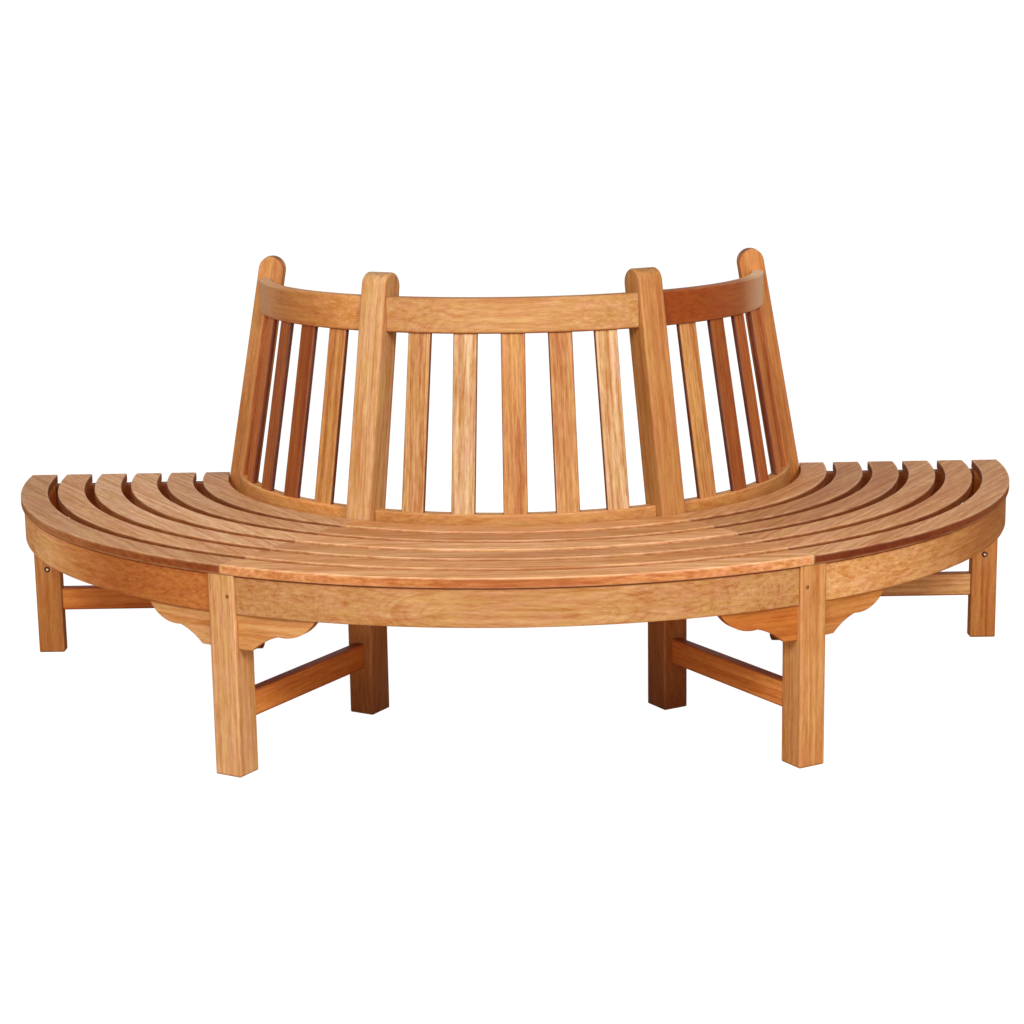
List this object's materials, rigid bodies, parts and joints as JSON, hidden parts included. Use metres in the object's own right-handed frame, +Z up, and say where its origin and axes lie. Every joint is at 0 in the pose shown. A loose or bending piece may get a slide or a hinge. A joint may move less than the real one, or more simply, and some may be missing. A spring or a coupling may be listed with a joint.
{
  "type": "tree bench",
  "caption": "Half-ring slatted hardwood bench with an inward-leaning slatted back, made to stand round a tree trunk or to join a twin into a full ring.",
  "frame": {"origin": "middle of the footprint, on the ground", "axes": "+X along the joining plane towards the right end as seen by someone facing the seat, +Y from the seat's front towards the tree, +Z up"},
  "size_m": [2.28, 1.1399, 0.932],
  "materials": {
    "seat_teak": "sanded teak, satin",
    "frame_teak": "sanded teak, satin",
    "back_teak": "sanded teak, satin",
    "stainless_steel": "plain stainless"
  },
  "bodies": {
    "root": {"apron_left": "frame_teak", "apron_middle": "frame_teak", "apron_pegs": "frame_teak", "apron_right": "frame_teak", "back_post_left_end": "frame_teak", "back_post_mid_left": "frame_teak", "back_post_mid_right": "frame_teak", "back_post_right_end": "frame_teak", "back_slats_left": "back_teak", "back_slats_middle": "back_teak", "back_slats_right": "back_teak", "bottom_rail_left": "back_teak", "bottom_rail_middle": "back_teak", "bottom_rail_right": "back_teak", "bracket_screws": "stainless_steel", "connector_nuts": "stainless_steel", "corner_bracket_mid_left_left": "frame_teak", "corner_bracket_mid_left_middle": "frame_teak", "corner_bracket_mid_right_middle": "frame_teak", "corner_bracket_mid_right_right": "frame_teak", "front_leg_left_end": "frame_teak", "front_leg_mid_left": "frame_teak", "front_leg_mid_right": "frame_teak", "front_leg_right_end": "frame_teak", "middle_bearer_left": "frame_teak", "middle_bearer_middle": "frame_teak", "middle_bearer_right": "frame_teak", "rail_pegs": "frame_teak", "seat_bearer_left_end": "frame_teak", "seat_bearer_mid_left": "frame_teak", "seat_bearer_mid_right": "frame_teak", "seat_bearer_right_end": "frame_teak", "seat_slat_left_1": "seat_teak", "seat_slat_left_2": "seat_teak", "seat_slat_left_3": "seat_teak", "seat_slat_left_4": "seat_teak", "seat_slat_left_5": "seat_teak", "seat_slat_left_6": "seat_teak", "seat_slat_middle_1": "seat_teak", "seat_slat_middle_2": "seat_teak", "seat_slat_middle_3": "seat_teak", "seat_slat_middle_4": "seat_teak", "seat_slat_middle_5": "seat_teak", "seat_slat_middle_6": "seat_teak", "seat_slat_right_1": "seat_teak", "seat_slat_right_2": "seat_teak", "seat_slat_right_3": "seat_teak", "seat_slat_right_4": "seat_teak", "seat_slat_right_5": "seat_teak", "seat_slat_right_6": "seat_teak", "slat_screws": "stainless_steel", "stretcher_left_end": "frame_teak", "stretcher_mid_left": "frame_teak", "stretcher_mid_right": "frame_teak", "stretcher_right_end": "frame_teak", "top_rail_left": "back_teak", "top_rail_middle": "back_teak", "top_rail_right": "back_teak"}
  },
  "joints": []
}
